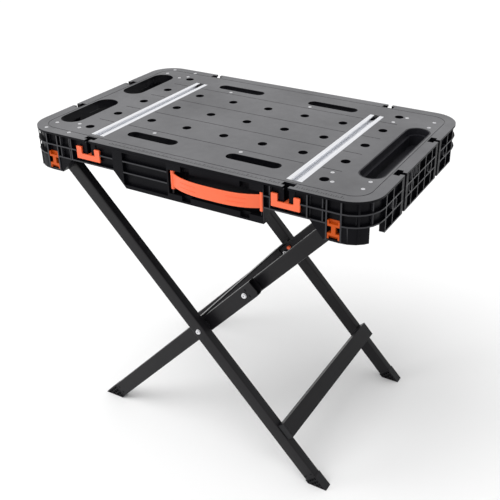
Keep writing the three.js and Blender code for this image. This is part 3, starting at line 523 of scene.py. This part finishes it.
RING_Y = (-148, -59, 48, 146)
RING = {"z": -39.5, "outer": 12.8, "inner": 10.8, "round": 0.4}
FRONT_RIBS = (-316, -291, -153, 206, 318)
CLOSE_RIBS = (-64, -56, -44, -36, -28)
BAYS = ((-24.5, -5.5), (-52.5, -26.5))  # between the deck and the shelves, with the ribs' ends sunk in
SKIRT_RECESS = 9
PANEL_RIB = {"half": 0.9, "behind": 0.2}
SKIRT_RIB = {"half": 1, "behind": 0.5}
CORNER_RIB = {"from": CORNER - 10, "to": CORNER - 2.4, "turn": math.radians(30)}


def build_panel_rings():
    """Round hollow bosses between the shelves of both end panels, and a few close ribs above them."""
    parts = []
    for side in (-1, 1):
        face = side * HALF_X
        levels = sorted((face - side * SKIRT_RECESS, face - side * PANEL_RIB["behind"]))
        for y in RING_Y:
            loops = [circle(y, RING["z"], RING["outer"]), circle(y, RING["z"], RING["inner"])]
            parts.append(bevel(prism("ring", loops, *levels, "X"), RING["round"]))
        for y in CLOSE_RIBS:
            parts.append(slab("rib", levels, (y - PANEL_RIB["half"], y + PANEL_RIB["half"]), BAYS[0]))
    # The bosses and close ribs take the lighter black, a painted highlight for the light they catch.
    show(merged("end_panel_bosses", parts), "deck", PAINTED_RIB_HIGHLIGHT)


def corner_rib(side_x, side_y, heights):
    """An upright rib that points out of a round corner, between two shelves."""
    middle = Vector((side_x * (HALF_X - CORNER), side_y * (HALF_Y - CORNER)))
    out = Vector((side_x * math.cos(CORNER_RIB["turn"]), side_y * math.sin(CORNER_RIB["turn"])))
    across = Vector((-out.y, out.x)) * SKIRT_RIB["half"]
    near, far = middle + out * CORNER_RIB["from"], middle + out * CORNER_RIB["to"]
    outline = [near - across, far - across, far + across, near + across]
    return prism("rib", [outline], *heights)


def build_skirt_ribs():
    """Thin upright ribs along the front and back skirt and round its corners, between its shelves."""
    parts = []
    for side_x in (-1, 1):
        for side_y in (-1, 1):
            parts += [corner_rib(side_x, side_y, bay) for bay in BAYS]
    for side in (-1, 1):
        levels = sorted((side * (HALF_Y - SKIRT_RIB["behind"]), side * (HALF_Y - SKIRT_RECESS)))
        for x in FRONT_RIBS:
            thick = (x - SKIRT_RIB["half"], x + SKIRT_RIB["half"])
            parts += [slab("rib", thick, levels, bay) for bay in BAYS]
    # The ribs take the lighter black, a painted highlight for their lit edges against the shaded recess.
    show(merged("skirt_ribs", parts), "deck", PAINTED_RIB_HIGHLIGHT)


build_panel_rings()
build_skirt_ribs()

# ---- Legs ----

PIVOT = (sum(span("leg_pin_front")[0]) / 2, sum(span("leg_pin_front")[2]) / 2)
CROSSING = tuple(sum(span("crossing_bolt_front")[axis]) / 2 for axis in (0, 2))
KNEE = tuple(sum(span("knee_bolt_front")[axis]) / 2 for axis in (0, 2))
LEG_ANGLE = math.atan2(PIVOT[1] - CROSSING[1], CROSSING[0] - PIVOT[0])
OUTER_WIDTH = 33
INNER_WIDTH = 37
CAP = {"proud": 0.6, "sleeve": 10, "edge": 0.6, "pocket": 8, "pocket_share": 0.82}
CAP_RIB = {"shares": (-0.25, 0, 0.25), "half": 0.9, "pitch": 9, "cross_half": 0.8}
TAB = {"aside": 8, "half": 1.6, "half_width": 3, "sunk": 1.5, "proud": 0.4, "edge": 0.2}
TABS_FROM_FLOOR = {"outer": 34, "inner": 36}
TABS_PAST_KNEE = 12
BOLT = {"radius": 5.3, "head": 3, "round": 1.4, "bore": 3, "shank_edge": 0.3}
SOCKET = {"radius": 2.7, "depth": 2.6}
WASHER = {"radius": 6.2, "from": 2.4, "to": 3.3, "edge": 0.25}
NUT = {"radius": 6, "thick": 3.2, "edge": 0.5}
HEXAGON = 6


def leg_point(origin, angle, along, across):
    """A point in a leg's own frame, as (x, z). Along runs away from the origin, across points upwards."""
    x = origin[0] + along * math.cos(angle) - across * math.sin(angle)
    z = origin[1] + along * math.sin(angle) + across * math.cos(angle)
    return x, z


def along_at(origin, angle, across, z):
    """How far along a leg its line at an offset comes to a height."""
    return (z - origin[1] - across * math.cos(angle)) / math.sin(angle)


def leg_slab(name, origin, angle, along, across, levels):
    """A block in a leg's own frame, between pairs of distances along and across it."""
    corners = [(along[0], across[0]), (along[1], across[0]), (along[1], across[1]), (along[0], across[1])]
    return prism(name, [[leg_point(origin, angle, *corner) for corner in corners]], *levels, "Y")


def foot(node, origin, angle, width):
    """A foot cap, cut level with the floor, with ribbed pockets in its outer and inner faces."""
    low_y, high_y = span(node)[1]
    half = width / 2 + CAP["proud"]
    tips = [along_at(origin, angle, across, FLOOR) for across in (-half, half)]
    near = min(tips, key=abs)
    start = near - math.copysign(CAP["sleeve"], near)
    corners = [(start, -half), (tips[0], -half), (tips[1], half), (start, half)]
    outline = [leg_point(origin, angle, *corner) for corner in corners]
    cap = prism("cap", [outline], low_y + CAP["proud"], high_y - CAP["proud"], "Y")
    bevel(cap, CAP["edge"])
    middle = Vector((sum(x for x, z in outline) / 4, sum(z for x, z in outline) / 4))
    wall = [tuple(middle + (Vector(point) - middle) * CAP["pocket_share"]) for point in outline]
    step = math.copysign(CAP_RIB["pitch"], near)
    thin, thick = CAP_RIB["cross_half"], CAP_RIB["half"]
    for levels in ((low_y - 1, low_y + CAP["pocket"]), (high_y - CAP["pocket"], high_y + 1)):
        pocket = prism("pocket", [wall], *levels, "Y")
        for share in CAP_RIB["shares"]:
            across = (share * width - thick, share * width + thick)
            boolean(pocket, leg_slab("rib", origin, angle, (start, start * 2), across, levels))
        for reach in (near, near + step, near + 2 * step):
            along = (reach - thin, reach + thin)
            boolean(pocket, leg_slab("rib", origin, angle, along, (-half, half), levels))
        boolean(cap, pocket)
    return cap


def snap_tabs(origin, angle, along, y_face, side):
    """Two small tabs of a plug that show in slots of the tube's face."""
    levels = sorted((y_face - side * TAB["sunk"], y_face + side * TAB["proud"]))
    length = (along - TAB["half"], along + TAB["half"])
    tabs = []
    for middle in (-TAB["aside"], TAB["aside"]):
        across = (middle - TAB["half_width"], middle + TAB["half_width"])
        tabs.append(bevel(leg_slab("tab", origin, angle, length, across, levels), TAB["edge"]))
    return tabs


def build_feet():
    """The foot caps, and the tabs by which they and the knee plugs hold in the tubes."""
    knee = math.dist(KNEE, CROSSING)
    outer_end = along_at(PIVOT, -LEG_ANGLE, 0, FLOOR) - TABS_FROM_FLOOR["outer"]
    inner_end = along_at(CROSSING, LEG_ANGLE, 0, FLOOR) + TABS_FROM_FLOOR["inner"]
    for name, side in SIDES.items():
        outer_face = span("outer_leg_" + name)[1][side > 0]
        inner_face = span("inner_leg_" + name)[1][side > 0]
        outer = foot("outer_foot_" + name, PIVOT, -LEG_ANGLE, OUTER_WIDTH)
        inner = foot("inner_foot_" + name, CROSSING, LEG_ANGLE, INNER_WIDTH)
        outer.name = "outer_foot_cap_" + name
        inner.name = "inner_foot_cap_" + name
        show(outer, "outer_frame", FOOT, ["outer_foot_" + name])
        show(inner, "inner_frame", FOOT, ["inner_foot_" + name])
        tabs = snap_tabs(PIVOT, -LEG_ANGLE, outer_end, outer_face, side)
        show(merged("outer_foot_tabs_" + name, tabs), "outer_frame", BLACK)
        tabs = snap_tabs(CROSSING, LEG_ANGLE, inner_end, inner_face, side)
        tabs += snap_tabs(CROSSING, LEG_ANGLE, knee + TABS_PAST_KNEE, inner_face, side)
        show(merged("inner_foot_and_knee_tabs_" + name, tabs), "inner_frame", BLACK)


def bolt_parts(node, side):
    """A button-head bolt with a washer and a hexagon socket, along Y."""
    box = span(node)
    x, z = sum(box[0]) / 2, sum(box[2]) / 2
    face, far = (box[1][1], box[1][0]) if side > 0 else box[1]
    levels = sorted((face, face - side * BOLT["head"]))
    head = bevel(prism("head", [circle(x, z, BOLT["radius"])], *levels, "Y"), BOLT["round"], 4)
    floor = face - side * SOCKET["depth"]
    outline = circle(x, z, SOCKET["radius"], HEXAGON)
    boolean(head, prism("socket", [outline], *sorted((face + side, floor)), "Y"))
    levels = sorted((face - side * WASHER["from"], face - side * WASHER["to"]))
    washer = prism("washer", [circle(x, z, WASHER["radius"])], *levels, "Y")
    shank = prism("shank", [circle(x, z, BOLT["bore"], 24)], *sorted((floor, far)), "Y")
    return [head, bevel(washer, WASHER["edge"]), bevel(shank, BOLT["shank_edge"])]


def bolt_nut(node, side):
    """The nut on a bolt's far end."""
    box = span(node)
    x, z = sum(box[0]) / 2, sum(box[2]) / 2
    far = box[1][side < 0]
    outline = circle(x, z, NUT["radius"], HEXAGON)
    return bevel(prism("nut", [outline], *sorted((far, far + side * NUT["thick"])), "Y"), NUT["edge"])


def build_bolts():
    for name, side in SIDES.items():
        node = "crossing_bolt_" + name
        bolt = merged("crossing_bolt_and_nut_" + name, bolt_parts(node, side) + [bolt_nut(node, side)])
        show(bolt, "outer_frame", ZINC, [node])
        node = "knee_bolt_" + name
        bolt = merged("knee_button_bolt_" + name, bolt_parts(node, side))
        show(bolt, "inner_frame", ZINC, [node])


build_feet()
build_bolts()

# ---- Carried-over CAD nodes ----

RIBBED = ("rail_", "end_panel_", "corner_block_", "handle_housing")
RIB_EDGE = 3.3
WELD = 0.00001
TUBES = ("outer_leg", "inner_leg", "upper_link")
TUBE_EDGE = {"width": 0.9, "segments": 3, "angle": 30}
PLAIN_EDGE = {"width": 0.5, "segments": 2, "angle": 50}
REPLACED = ["deck_top", "handle_strap"]
for kind in ("outer_foot_", "inner_foot_", "crossing_bolt_", "knee_bolt_"):
    REPLACED += [kind + side for side in SIDES]


def paint_rib_edge_highlights(node):
    """Paints the narrow outer faces of a moulding's ribs and shelves in the lighter black, a painted
    highlight for the light these edges catch.
    """
    node.data.materials.append(PAINTED_RIB_HIGHLIGHT)
    for face in node.data.polygons:
        points = [node.data.vertices[index].co for index in face.vertices]
        reach = [max(values) - min(values) for values in zip(*points)]
        narrow = min(reach[2], math.hypot(reach[0], reach[1])) < RIB_EDGE * MM
        # Narrow upright faces take the painted highlight.
        if narrow and abs(face.normal.z) < 0.1:
            face.material_index = 1


def soften(node, width, segments, angle):
    """Rounds a node's edges with modifiers, and shades it smooth between them."""
    node.modifiers.new("weld", "WELD").merge_threshold = WELD
    edge = node.modifiers.new("edge", "BEVEL")
    edge.width = width * MM
    edge.segments = segments
    edge.limit_method = "ANGLE"
    edge.angle_limit = math.radians(angle)
    edge.harden_normals = False
    node.modifiers.new("weighted", "WEIGHTED_NORMAL")
    for face in node.data.polygons:
        face.use_smooth = True


def dress_cad_nodes():
    """Softens the edges of the CAD nodes that stay, and gives each its material."""
    slots = {part["node"]: part["material_slot"] for part in frame["record"]["subparts"]}
    for name, node in frame["nodes"].items():
        if name in REPLACED:
            continue
        soften(node, **(TUBE_EDGE if name.startswith(TUBES) else PLAIN_EDGE))
        node.data.materials.clear()
        # The tool tray takes the lighter copy of the black, painted light on its floor.
        node.data.materials.append(TRAY_PAINTED_LIGHT if name == "tool_tray" else SLOTS[slots[name]])
        # The rib and shelf edges of these mouldings get a painted highlight.
        if name.startswith(RIBBED):
            paint_rib_edge_highlights(node)


dress_cad_nodes()

# ---- Studio ----

FLOOR_HALF = 20
FLOOR_DROP = 0.0005
SURROUND = 0.8
SUN = {"energy": 1.3, "spread": math.radians(50), "from": (-0.3, -0.35, 0.9)}
SIDE_LAMP = {"position": (-2.2, -1.6, 1.0), "target": (-0.2, 0, 0.7), "size": 1.0, "power": 14}
CAMERA_AT = (888, -1440, 637)
AZIMUTH = math.radians(28.803)
ELEVATION = math.radians(27.782)
LENS = 57.592
OPTICAL_CENTRE = (-0.0692, -0.0567)


def build_floor():
    """A wide pale floor just under the feet."""
    bm = bmesh.new()
    bmesh.ops.create_grid(bm, x_segments=1, y_segments=1, size=FLOOR_HALF)
    bmesh.ops.translate(bm, verts=bm.verts, vec=(0, 0, -FLOOR_DROP))
    floor = mesh_object("floor", bm)
    material, tree, shader = new_material("studio_floor", (0.93, 0.93, 0.93), 0.9)
    vary_roughness(tree, shader, noise(tree, 3), 0.85, 0.95)
    floor.data.materials.append(material)


def area_light(name, position, target, size, power):
    light = bpy.data.lights.new(name, "AREA")
    light.shape = "DISK"
    light.size = size
    light.energy = power
    lamp = bpy.data.objects.new(name, light)
    lamp.location = position
    lamp.rotation_euler = (Vector(target) - Vector(position)).to_track_quat("-Z", "Y").to_euler()
    bpy.context.scene.collection.objects.link(lamp)


def build_lights():
    """A white surround, a broad light from above and a lamp at the left."""
    world = bpy.data.worlds.new("studio")
    world.use_nodes = True
    background = world.node_tree.nodes["Background"]
    background.inputs["Color"].default_value = (1, 1, 1, 1)
    background.inputs["Strength"].default_value = SURROUND
    bpy.context.scene.world = world
    sun = bpy.data.lights.new("overhead", "SUN")
    sun.energy = SUN["energy"]
    sun.angle = SUN["spread"]
    lamp = bpy.data.objects.new("overhead", sun)
    lamp.rotation_euler = Vector(SUN["from"]).to_track_quat("Z", "Y").to_euler()
    bpy.context.scene.collection.objects.link(lamp)
    area_light("side", **SIDE_LAMP)
    bpy.context.scene.view_settings.view_transform = "Standard"


def build_camera():
    """The photograph's view: the direction, the distance, and the optical centre by shifts."""
    right = Vector((math.cos(AZIMUTH), math.sin(AZIMUTH), 0))
    level = math.cos(ELEVATION)
    back = Vector((level * math.sin(AZIMUTH), -level * math.cos(AZIMUTH), math.sin(ELEVATION)))
    up = back.cross(right)
    camera = bpy.data.cameras.new("camera")
    camera.sensor_width = 36
    camera.lens = LENS
    camera.shift_x, camera.shift_y = OPTICAL_CENTRE
    camera.clip_start = 0.05
    view = bpy.data.objects.new("camera", camera)
    turned = Matrix((right, up, back)).transposed().to_4x4()
    view.matrix_world = Matrix.Translation(place(*CAMERA_AT)) @ turned
    bpy.context.scene.collection.objects.link(view)
    bpy.context.scene.camera = view


build_floor()
build_lights()
build_camera()

bpy.context.view_layer.update()
